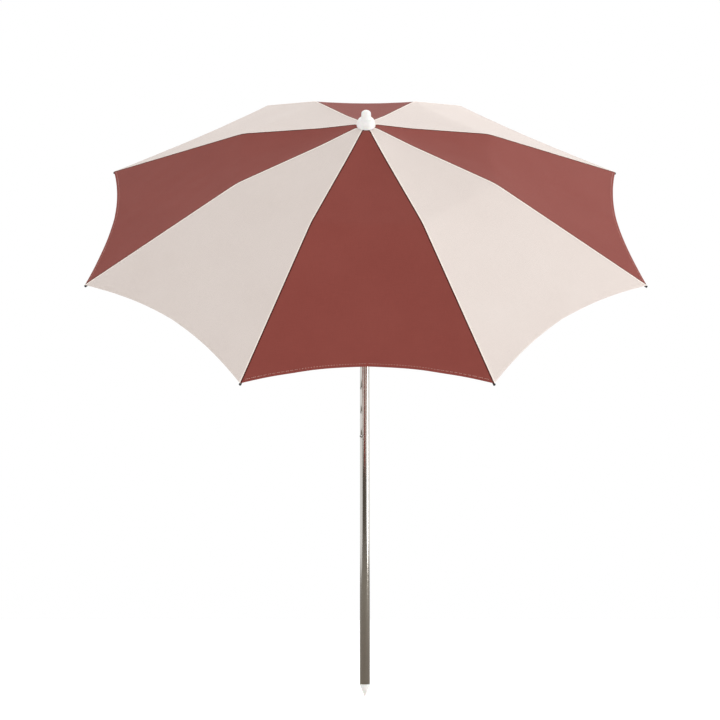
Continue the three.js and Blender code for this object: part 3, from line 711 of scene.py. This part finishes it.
eye = turned("eye", [(eye_radius, -eye_width / 2), (eye_radius, eye_width / 2)], 48)
eye.data.transform(pointing((0, 1, 0), Vector()))
ferrule = turned("ferrule", [
    (0.0017, 0.0018), (0.0024, 0.0042), (0.0029, 0.0058), (0.0032, 0.0072), (0.0032, 0.0210),
    (0.0029, 0.0218)], 48)
ferrule.data.transform(pointing(bend_in.normalized(), Vector()))
cut(eye, ferrule, "UNION")
cut(eye, drill(wire_bore, -0.01, 0.01, (0, 1, 0), Vector(), 32))
soften(eye, 0.0003, 2, 45)

cap_radius = rib_radius + 0.0003 + 0.0008
cap = turned("cap", [
    (rib_radius + 0.0003, -0.028), (cap_radius - 0.0003, -0.028), (cap_radius, -0.0277),
    (cap_radius, -0.0022)]
    + [(cap_radius - 0.0022 + 0.0022 * math.cos(a), -0.0022 + 0.0022 * math.sin(a))
       for a in (math.radians(step) for step in (20, 40, 60, 80))], 48)
cap.data.transform(pointing(outer_way, rib_tip))

fibre = dark_skin("Glass fibre", (0.026, 0.027, 0.029, 1), (0.055, 0.056, 0.058, 1), 0.34, 1800.0)
tip_finish = dark_skin(
    "Dark grey plastic", (0.022, 0.022, 0.023, 1), (0.045, 0.045, 0.047, 1), 0.45, 2200.0)
bright = pressed_steel("Zinc plated steel")
for k in range(1, 9):
    arm = arm_frame(k)
    body = f"rib_{k}"
    fit(copied(rod, f"rib_rod_{k}", arm), body, "rib_fibre", fibre, f"rib_{k}")
    fit(copied(eye, f"rib_eye_{k}", arm), body, "bright_steel", bright, f"rib_{k}")
    fit(copied(cap, f"rib_cap_{k}", arm), body, "dark_tip", tip_finish, f"rib_tip_{k}")
for pattern in (rod, eye, cap):
    bpy.data.objects.remove(pattern)


# ---- Rib clips
# A pressed steel sleeve crimped on each rib, with a lug below it for the stretcher's rivet.
# Two rings of dents hold it in place.

stretcher_foot = 0.380
lug_drop = 0.009
lug_radius = 0.0042
lug_half = 0.002
rivet_bore = 0.0016
clip_bore = rib_radius + 0.0003
clip_out = clip_bore + 0.0008
clip = turned("clip", [
    (clip_bore, -0.010), (clip_out - 0.0002, -0.010), (clip_out, -0.0097), (clip_out, -0.0080),
    (clip_out - 0.0004, -0.0073), (clip_out - 0.0004, -0.0067), (clip_out, -0.0060), (clip_out, 0.0060),
    (clip_out - 0.0004, 0.0067), (clip_out - 0.0004, 0.0073), (clip_out, 0.0080), (clip_out, 0.0097),
    (clip_out - 0.0002, 0.010), (clip_bore, 0.010), (clip_bore, -0.010)], 48)
clip.data.transform(pointing((1, 0, 0), Vector()))
lug = turned("lug", [(lug_radius, -lug_half), (lug_radius, lug_half)], 64)
lug.data.transform(pointing((0, 1, 0), Vector((0, 0, -lug_drop))))
web = block("web", (-lug_radius, -lug_half, -lug_drop), (lug_radius, lug_half, -clip_bore - 0.0002))
cut(lug, web, "UNION")
cut(clip, lug, "UNION")
cut(clip, drill(rivet_bore, -0.01, 0.01, (0, 1, 0), Vector((0, 0, -lug_drop)), 32))
soften(clip, 0.00025, 2, 45)
clip.data.transform(Matrix.Translation(bend_in.normalized() * stretcher_foot)
                    @ Matrix.Rotation(inner_slope, 4, "Y"))
for k in range(1, 9):
    sleeve = copied(clip, f"crimped_clip_{k}", arm_frame(k))
    fit(sleeve, f"rib_{k}", "bright_steel", bright, f"rib_clip_{k}")
bpy.data.objects.remove(clip)


# ---- Stretchers
# Channels folded from steel strip, open below. The runner's end is pinched to a narrow eye,
# and the rib's end is a fork riveted round the clip's lug.

link_length = math.hypot(stretcher_foot, lug_drop)
link_angle = inner_slope + math.atan2(lug_drop, stretcher_foot)
channel_half = 0.0039
channel_deep = 0.0035
pinch_end = 0.014
pinch_share = 0.35
fork_start = link_length - 0.0094
open_from = 0.0045
sheet_wall = 0.0008
rivet_radius = 0.0012


def select_faces(piece, test):
    """Leaves only the faces selected whose centre and normal pass the test, in edit mode."""
    bpy.ops.object.mode_set(mode="EDIT")
    bpy.ops.mesh.select_mode(type="FACE")
    bpy.ops.mesh.select_all(action="DESELECT")
    bpy.ops.object.mode_set(mode="OBJECT")
    for face in piece.data.polygons:
        face.select = test(face.center, face.normal)
    bpy.ops.object.mode_set(mode="EDIT")


bar = turned("bar", [(channel_deep, -channel_half), (channel_deep, channel_half)], 32)
bar.data.transform(pointing((0, 1, 0), Vector()))
bpy.context.view_layer.objects.active = bar
bpy.ops.object.mode_set(mode="EDIT")
bpy.ops.mesh.select_mode(type="VERT")
bpy.ops.mesh.select_all(action="DESELECT")
bpy.ops.object.mode_set(mode="OBJECT")
for corner in bar.data.vertices:
    corner.select = corner.co.x > 1e-5
bpy.ops.object.mode_set(mode="EDIT")
bpy.ops.transform.translate(value=(link_length, 0, 0))
for place in (pinch_end - 0.004, pinch_end, pinch_end + 0.005, fork_start):
    bpy.ops.mesh.select_all(action="SELECT")
    bpy.ops.mesh.bisect(plane_co=(place, 0, 0), plane_no=(1, 0, 0))
bpy.ops.object.mode_set(mode="OBJECT")
for corner in bar.data.vertices:
    if corner.co.x < pinch_end + 0.004:
        share = 1.0 if corner.co.x < pinch_end - 0.001 else pinch_share
        corner.co.y *= 1 - share * (1 - eye_width / 2 / channel_half)
select_faces(bar, lambda centre, normal: normal.z < -0.5
             and open_from < centre.x < link_length - 0.001
             or normal.z > 0.2 and centre.x > fork_start
             or normal.x > 0.5 and centre.x > fork_start)
bpy.ops.mesh.delete(type="FACE")
bpy.ops.object.mode_set(mode="OBJECT")
apply_modifier(bar, "SOLIDIFY", thickness=sheet_wall, offset=-1, use_even_offset=True)
cut(bar, drill(wire_bore, -0.01, 0.01, (0, 1, 0), Vector(), 32))
soften(bar, 0.0002, 2, 50)
rivet_head = [(0.0021, 0.0), (0.0020, 0.0003), (0.0014, 0.0006), (0.0004, 0.0007)]
rivet = turned("rivet", [(r, -channel_half - rise) for r, rise in reversed(rivet_head)]
               + [(rivet_radius, -channel_half), (rivet_radius, channel_half)]
               + [(r, channel_half + rise) for r, rise in rivet_head], 32)
rivet.data.transform(pointing((0, 1, 0), Vector((link_length, 0, 0))))
runner_depth = mast_length - runner_height
strut = Matrix.Translation((0, 0, -runner_depth)) @ Matrix.Rotation(-link_angle, 4, "Y")
for k in range(1, 9):
    placement = arm_frame(k) @ strut
    for pattern, part, finish in ((bar, "channel", bright), (rivet, "rivet", spring_finish)):
        piece = copied(pattern, f"stretcher_{part}_{k}", placement)
        fit(piece, f"stretcher_{k}", "bright_steel", finish, f"stretcher_{k}")
for pattern in (bar, rivet):
    bpy.data.objects.remove(pattern)


# ---- Canopy
# Eight gores of plain-woven cloth, terracotta and cream by turns, stretched over the ribs.
# Each is cut with a hollow hem, felled to its neighbours along the ribs, and folded and
# stitched along the hem. Each is made in halves, so that a half folds with its own rib.

# Plain weave: threads over and under each other, from coordinates in metres on the cloth
plain_weave, inlet, outlet = new_group(
    "Plain weave", {"Vector": None, "Thread": 0.0006}, ["Height", "Slub"])
axes = add_node(plain_weave, "ShaderNodeSeparateXYZ", {0: inlet["Vector"]}).outputs
waves = []
for axis in ("X", "Y"):
    angle = maths(plain_weave, "DIVIDE", axes[axis], inlet["Thread"])
    waves.append(maths(plain_weave, "SINE", maths(plain_weave, "MULTIPLY", angle, math.pi)))
over = maths(plain_weave, "GREATER_THAN", maths(plain_weave, "MULTIPLY", *waves), 0.0)
warp, weft = (maths(plain_weave, "ABSOLUTE", wave) for wave in waves)
top = maths(plain_weave, "MULTIPLY_ADD", maths(plain_weave, "SUBTRACT", weft, warp), over, warp)
plain_weave.links.new(top, outlet["Height"])
slubs = [noise_value(plain_weave, add_node(plain_weave, "ShaderNodeMapping", {
    "Vector": inlet["Vector"], "Scale": scale}).outputs[0], 900.0, 2.0)
    for scale in ((1, 0.03, 1), (0.03, 1, 1))]
slub = maths(plain_weave, "MULTIPLY", maths(plain_weave, "ADD", *slubs), 0.5)
plain_weave.links.new(slub, outlet["Slub"])


def cloth(name, shade, light, faded, seam_painted_light):
    """Woven canopy cloth: thread relief, thread-to-thread tone, painted shade in the weave's hollows,
    slow fading, and a painted band beside the seams along the ribs: a painted shadow on the dark cloth
    and a painted highlight on the light one."""
    material, tree, shader, place = new_material(
        name, 0.9, Sheen_Weight=0.08, Sheen_Roughness=0.45, Specular_IOR_Level=0.2)
    shader.inputs["Sheen Tint"].default_value = (1, 0.93, 0.9, 1)
    across = add_node(tree, "ShaderNodeUVMap", uv_map="Cloth").outputs[0]
    weave = add_node(tree, "ShaderNodeGroup", {"Vector": across}, node_tree=plain_weave).outputs
    colour = blend_colours(tree, weave["Slub"], shade, light)
    slow = noise_value(tree, place, 5.0, 4.0)
    fading = maths(tree, "MULTIPLY", spread(tree, slow, -0.6, 1.4), 0.3)
    colour = blend_colours(tree, fading, colour, faded)
    # Near the seams the colour goes to the last colour given: a painted shadow along the terracotta's
    # seams and a painted highlight along the cream's, for the light on the felled edge.
    distance = add_node(tree, "ShaderNodeAttribute", attribute_name="seam_distance").outputs["Fac"]
    beside = add_node(tree, "ShaderNodeMapRange", {
        "Value": distance, "From Min": seam_width, "From Max": 0.4 * seam_width},
        interpolation_type="SMOOTHSTEP").outputs[0]
    colour = blend_colours(tree, beside, colour, seam_painted_light)
    # The weave's low points are darkened: painted shade in the hollows between the threads.
    weave_hollow_shade = spread(tree, weave["Height"], 0.82, 1.0)
    shaded = add_node(tree, "ShaderNodeVectorMath", {0: colour, "Scale": weave_hollow_shade}, operation="SCALE")
    tree.links.new(shaded.outputs[0], shader.inputs["Base Color"])
    tree.links.new(spread(tree, weave["Slub"], 0.78, 0.95), shader.inputs["Roughness"])
    bump(tree, shader, weave["Height"], 0.00012, 0.6)
    return material


seam_width = 0.0055
# The last colour of each cloth is its painted seam band: a painted shadow on terracotta, a painted
# highlight on cream.
terracotta = cloth("Terracotta cloth", (0.200, 0.043, 0.033, 1), (0.300, 0.068, 0.054, 1),
                   (0.31, 0.082, 0.066, 1), (0.075, 0.014, 0.011, 1))
cream = cloth("Cream cloth", (0.68, 0.60, 0.56, 1), (0.80, 0.72, 0.68, 1),
              (0.82, 0.75, 0.715, 1), (0.97, 0.87, 0.80, 1))
half_turn = math.pi / 8
corner_radius = 0.910 - 0.0025
hem_hollow = 0.050
hollow_from = 0.4438
settle = 0.150
crown_edge = hub_radius + 0.002
crown_hole = 0.0055
cloth_lift = 0.0040
cloth_thick = 0.0005
seam_gap = 0.00015
dip_depth = 0.007
fell_width = 0.0065
fell_height = 0.0006
hem_fold = 0.010


def rib_height(outwards):
    """Height of a rib's centre line at a distance out from its pin."""
    if outwards <= bend_in.x:
        return -outwards * math.tan(inner_slope)
    if outwards <= bend_out.x:
        return bend_centre.z + math.sqrt(bend_radius ** 2 - (outwards - bend_centre.x) ** 2)
    return bend_out.z - (outwards - bend_out.x) * math.tan(outer_slope)


def seam_height(radius):
    """Height of the cloth over the hub's pins at a distance from the mast."""
    slope = outer_slope if radius > settle and radius - pivot_circle > bend_in.x else inner_slope
    on_rib = rib_height(max(radius, settle) - pivot_circle) + cloth_lift / math.cos(slope)
    flat = hub_top + 0.0003
    share = min(max((radius - crown_edge) / (settle - crown_edge), 0.0), 1.0)
    return flat + share * (on_rib - flat)


def smooth_height(radius):
    """The seam's height with its corners eased, as stretched cloth has them."""
    reach = min(0.016, 0.35 * max(radius - crown_edge, 0.0))
    return sum(seam_height(radius + reach * step / 4) for step in range(-4, 5)) / 9


def eased(value):
    """A share from 0 to 1 with soft ends."""
    value = min(max(value, 0.0), 1.0)
    return value * value * (3 - 2 * value)


def gore_point(radius, inset, gore, felled, under=0.0):
    """A point of gore cloth on the thread that meets its ribs at the radius, `inset` in from
    the seam, with the ease and small puckers of sewn cloth."""
    half = max(radius * math.sin(half_turn) - seam_gap, 0.0004)
    inset = min(inset, half)
    side = 1 - inset / half
    share = radius / corner_radius
    height = smooth_height(radius) + 0.0002 + cloth_thick / 2
    sag = dip_depth * math.sin(math.pi * min(share, 1.0)) * (1 - side * side)
    height -= sag * eased((radius - crown_edge) / 0.10)
    spot = Vector((radius * 14, half * side * 14, gore * 7.3))
    height += 0.0010 * noise.noise(spot) * eased(inset / 0.05)
    pucker = math.sin(radius * 260 + 2.2 * noise.noise(Vector((radius * 9, gore, 4.1))))
    near_seam = math.exp(-inset / 0.013) * eased((radius - 0.05) / 0.1) * eased(inset / 0.004)
    height += 0.00035 * pucker * near_seam
    if felled:
        fell = (1 - eased((inset - fell_width) / 0.0012)) * eased((inset + 0.0006) / 0.0012)
        height += fell_height * fell
    else:
        height -= 0.0002 * (1 - eased(inset / 0.002))
    return Vector((radius * math.cos(half_turn), half * side, height - under))


def hem_radius(inset, fold=0.0):
    """Radius of the thread at the hem, which is hollowed between the ribs."""
    half = corner_radius * math.sin(half_turn)
    side = 1 - min(inset, half) / half
    return corner_radius - fold - hem_hollow * (1 - side * side)


def gore_radius(share, inset):
    """Radius of a thread that starts round at the crown and takes on the hem's hollow."""
    radius = crown_hole + share * (corner_radius - crown_hole)
    hollow = max(0.0, (radius / corner_radius - hollow_from) / (1 - hollow_from))
    half = corner_radius * math.sin(half_turn)
    side = 1 - min(inset, half) / half
    return radius - hollow * hem_hollow * (1 - side * side)


def half_gore(name, gore, felled):
    """One half of a gore from its seam at y > 0 to its middle, as a grid with the hem folded under."""
    half = corner_radius * math.sin(half_turn)
    near = [0.0, 0.0008, 0.0018, 0.0034, 0.0050, 0.0062, 0.0070, 0.0080, 0.0096, 0.013, 0.018]
    columns = near + [0.018 + (half - 0.018) * step / 20 for step in range(1, 21)]
    shares = [step / 84 for step in range(84)] + [0.9955, 1.0]
    rows = []
    for share in shares:
        row = []
        for i, inset in enumerate(columns):
            radius = gore_radius(share, inset)
            width = radius * math.sin(half_turn)
            crowded = width * (i / (len(columns) - 1))
            row.append(gore_point(radius, min(max(inset * width / half, min(inset, crowded)), width),
                                  gore, felled))
        rows.append(row)
    for fold, under in ((-0.0004, 0.0005), (0.0, 0.0010), (0.0040, 0.0011), (hem_fold, 0.0011)):
        rows.append([gore_point(hem_radius(inset, fold), inset, gore, felled, under)
                     for inset in columns])
    wide = len(columns)
    faces = [(a, a + 1, a + wide + 1, a + wide)
             for i in range(len(rows) - 1) for a in range(i * wide, i * wide + wide - 1)]
    mesh = bpy.data.meshes.new(name)
    mesh.from_pydata([point for row in rows for point in row], [], faces)
    distances = mesh.attributes.new("seam_distance", "FLOAT", "POINT")
    distances.data.foreach_set("value", [
        math.tan(half_turn) * point.x - abs(point.y) for row in rows for point in row])
    across = mesh.uv_layers.new(name="Cloth")
    for loop in mesh.loops:
        point = mesh.vertices[loop.vertex_index].co
        across.data[loop.index].uv = (point.y + gore, point.x / math.cos(outer_slope))
    piece = bpy.data.objects.new(name, mesh)
    bpy.context.scene.collection.objects.link(piece)
    apply_modifier(piece, "SOLIDIFY", thickness=cloth_thick, offset=0)
    return piece


def stitches(name, runs):
    """Short thick threads laid end to end along each run of points."""
    ring = [(0.0, 0.0)] + [(math.cos(a), math.sin(a)) for a in (0.0, math.pi / 2, math.pi, -math.pi / 2)]
    length, gap, thick = 0.0036, 0.0009, 0.0005
    points, faces = [], []
    for run in runs:
        travelled, due = 0.0, 0.0
        for start, end in zip(run, run[1:]):
            way = end - start
            size = way.length
            way.normalize()
            while due + length < travelled + size:
                middle = start + way * (due - travelled + length / 2)
                beside = way.orthogonal().normalized()
                turn = Matrix((way, beside, way.cross(beside))).transposed()
                base = len(points)
                points += [middle + turn @ Vector((length * s, 0, 0)) for s in (-0.5, 0.5)]
                points += [middle + turn @ Vector((length * s, y * thick, z * thick))
                           for s in (-0.3, 0.3) for y, z in ring[1:]]
                for i in range(4):
                    j = (i + 1) % 4
                    a, b, c, d = base + 2 + i, base + 2 + j, base + 6 + i, base + 6 + j
                    faces += [(base, b, a), (a, b, d, c), (base + 1, c, d)]
                due += length + gap
            travelled += size
            due = max(due, travelled)
    mesh = bpy.data.meshes.new(name)
    mesh.from_pydata(points, [], faces)
    piece = bpy.data.objects.new(name, mesh)
    bpy.context.scene.collection.objects.link(piece)
    bpy.context.view_layer.objects.active = piece
    bpy.ops.object.mode_set(mode="EDIT")
    bpy.ops.mesh.select_all(action="SELECT")
    bpy.ops.mesh.normals_make_consistent(inside=False)
    bpy.ops.object.mode_set(mode="OBJECT")
    return piece


def thread(name, dark, light):
    """Twisted polyester sewing thread."""
    material, tree, shader, place = new_material(name, 0.6, Sheen_Weight=0.3)
    twist = noise_value(tree, place, 2600.0, 2.0)
    tree.links.new(blend_colours(tree, twist, dark, light), shader.inputs["Base Color"])
    bump(tree, shader, twist, 0.00005, 0.5)
    return material


def stitch_run(gore, felled, rise, hem, samples=90):
    """Points of one row of stitches: along the hem, or down the felled seam."""
    lift = rise * (cloth_thick / 2 + 0.0001) - (0.0015 if hem and rise < 0 else 0.0)
    run = []
    for step in range(samples + 1):
        if hem:
            inset = 0.010 + (corner_radius * math.sin(half_turn) - 0.010) * step / samples
            radius = hem_radius(inset, hem_fold * 0.75)
        else:
            inset = fell_width * 0.72
            radius = 0.06 + (corner_radius - 0.014 - 0.06) * step / samples
        run.append(gore_point(radius, inset, gore, felled) + Vector((0, 0, lift)))
    return run


terracotta_thread = thread("Terracotta thread", (0.55, 0.30, 0.26, 1), (0.75, 0.50, 0.44, 1))
cream_thread = thread("Cream thread", (0.62, 0.55, 0.49, 1), (0.85, 0.78, 0.72, 1))
for k in range(1, 9):
    next_k = k % 8 + 1
    middle = (rib_pins[k - 1] + rib_pins[next_k - 1] - 2 * crown).normalized()
    gore_frame = Matrix.Translation(crown) @ Matrix(
        (middle, mast_up.cross(middle), mast_up)).transposed().to_4x4()
    dark = k % 2 == 0
    for near, hand in ((k, -1), (next_k, 1)):
        name = f"canopy_{k}_{'right' if hand < 0 else 'left'}"
        mirror = Matrix.Diagonal((1, hand, 1, 1))
        piece = half_gore(name, k, not dark)
        runs = [stitch_run(k, not dark, rise, True) for rise in (1, -1)]
        if not dark:
            runs += [stitch_run(k, True, rise, False) for rise in (1, -1)]
        sewing = stitches(f"{name}_stitches", runs)
        for part in (piece, sewing):
            part.data.transform(gore_frame @ mirror)
            if hand < 0:
                part.data.flip_normals()
            take_up(part)
            bpy.ops.object.shade_smooth_by_angle(angle=math.radians(40))
        piece.data.materials.append(terracotta if dark else cream)
        sewing.data.materials.append(terracotta_thread if dark else cream_thread)
        for part in (piece, sewing):
            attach(part, f"rib_{near}")
            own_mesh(part)
            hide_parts(f"canopy_panel_{k}")


# ---- Washer and finial
# A white moulded cap screwed into the mast's head through the cloth. Its bell clamps the
# gores' points on the hub, and its knob is turned by hand.

cloth_top = hub_top + 0.0003 + 0.001 / math.cos(outer_slope)
bell_radius = 0.0285
knob_radius = 0.0148
finial_height = 0.0515
finial_neck = 0.0255
rim = 0.0010
crown_depth = 0.0105
base = cloth_top + 0.0003
top = base + finial_height
bell = [(bell_radius - 0.0010, base), (bell_radius - 0.0003, base + 0.0003),
        (bell_radius, base + rim)]
shoulder_radius = knob_radius + 0.0022
neck_height = base + finial_neck
for step in range(1, 13):
    angle = math.radians(90) * step / 12
    bell.append((shoulder_radius + (bell_radius - shoulder_radius) * math.cos(angle),
                 base + rim + (neck_height - base - rim) * math.sin(angle)))
knob = [(knob_radius + 0.0010, neck_height + 0.0012), (knob_radius + 0.0002, neck_height + 0.0040),
        (knob_radius - 0.0003, top - crown_depth)]
for step in range(1, 9):
    angle = math.radians(88) * step / 8
    knob.append((0.0042 + (knob_radius - 0.0045) * math.cos(angle),
                 top - crown_depth + 0.0100 * math.sin(angle)))
hollow_top = base + 0.0018
finial = turned("finial_cap", [
    (0.001, roof - 0.016), (0.0034, roof - 0.016), (0.004, roof - 0.0154), (0.004, hollow_top),
    (bell_radius - 0.005, hollow_top), (bell_radius - 0.005, base), *bell, *knob, (0.0015, top)])
finial.data.transform(head)
fit(finial, "mast", "white_plastic", plastic, "finial")
refinish("canopy_washer", plastic)


# ---- Studio
# A pale floor that runs out of sight, a bright room, one wide light overhead, an upright one
# on the right and a weak one in front. A dark screen in front shows only in the steel.

bpy.ops.object.select_all(action="DESELECT")
bpy.ops.mesh.primitive_circle_add(vertices=96, radius=60, fill_type="NGON", location=(0, 0, -0.0004))
floor = bpy.context.object
floor.name = "studio_floor"
floor_paint, tree, shader, place = new_material("Pale floor", 0.9)
pale = blend_colours(tree, noise_value(tree, place, 0.6), (0.93, 0.93, 0.925, 1), (0.96, 0.96, 0.955, 1))
# In the steel's reflections the floor is painted dark brown, a painted reflection and not its own
# colour. To every other ray it glows faintly, which keeps it evenly bright.
mirrored = add_node(tree, "ShaderNodeLightPath").outputs["Is Glossy Ray"]
tree.links.new(blend_colours(tree, mirrored, pale, (0.24, 0.215, 0.18, 1)), shader.inputs["Base Color"])
shader.inputs["Emission Color"].default_value = (1, 1, 1, 1)
tree.links.new(maths(tree, "MULTIPLY_ADD", mirrored, -0.25, 0.25), shader.inputs["Emission Strength"])
floor.data.materials.append(floor_paint)

world = bpy.data.worlds.new("Studio")
bpy.context.scene.world = world
world.use_nodes = True
tree = world.node_tree
way = add_node(tree, "ShaderNodeTexCoord").outputs["Generated"]
screen = Vector((-math.sin(math.radians(11)), -math.cos(math.radians(11)), 0))
towards_screen = add_node(
    tree, "ShaderNodeVectorMath", {0: way, 1: screen}, operation="DOT_PRODUCT").outputs[1]
dim = add_node(tree, "ShaderNodeMapRange", {
    "Value": towards_screen, "From Min": 0.66, "From Max": 0.76},
    interpolation_type="SMOOTHSTEP").outputs[0]
room = blend_colours(tree, dim, (1.0, 1.0, 1.0, 1), (0.12, 0.105, 0.085, 1))
seen = add_node(tree, "ShaderNodeLightPath").outputs["Is Camera Ray"]
sky = blend_colours(tree, seen, room, (1.0, 1.0, 1.0, 1))
tree.links.new(sky, tree.nodes["Background"].inputs["Color"])


def soft_light(name, place, target, width, length, watts, colour):
    """A rectangular soft box aimed at a point."""
    data = bpy.data.lights.new(name, "AREA")
    data.shape = "RECTANGLE"
    data.size, data.size_y = width, length
    data.energy = watts
    data.color = colour
    light = bpy.data.objects.new(name, data)
    bpy.context.scene.collection.objects.link(light)
    light.location = place
    light.rotation_euler = (Vector(target) - Vector(place)).to_track_quat("-Z", "Y").to_euler()
    return light


soft_light("overhead", (0.6, 0.6, 4.6), (0, -0.4, 1.4), 3.2, 3.2, 30, (1, 0.99, 0.97))
fill = soft_light("front_fill", (-1.2, -4.6, 2.6), (0, -0.6, 1.6), 2.4, 2.4, 30, (1, 0.99, 0.97))
fill.visible_glossy = False
soft_light("right_side", (4.2, -1.3, 1.6), (0, -0.2, 1.2), 1.4, 3.0, 60, (1, 0.98, 0.96))

bpy.context.scene.view_settings.view_transform = "Standard"
camera_data = bpy.data.cameras.new("camera")
camera_data.lens = 77.87
camera_data.sensor_width = 36
camera = bpy.data.objects.new("camera", camera_data)
bpy.context.scene.collection.objects.link(camera)
camera.location = (-0.0385, -5.124, 0.2615)
camera.rotation_euler = (math.radians(90 + 9.25), 0, math.radians(-0.254))
bpy.context.scene.camera = camera
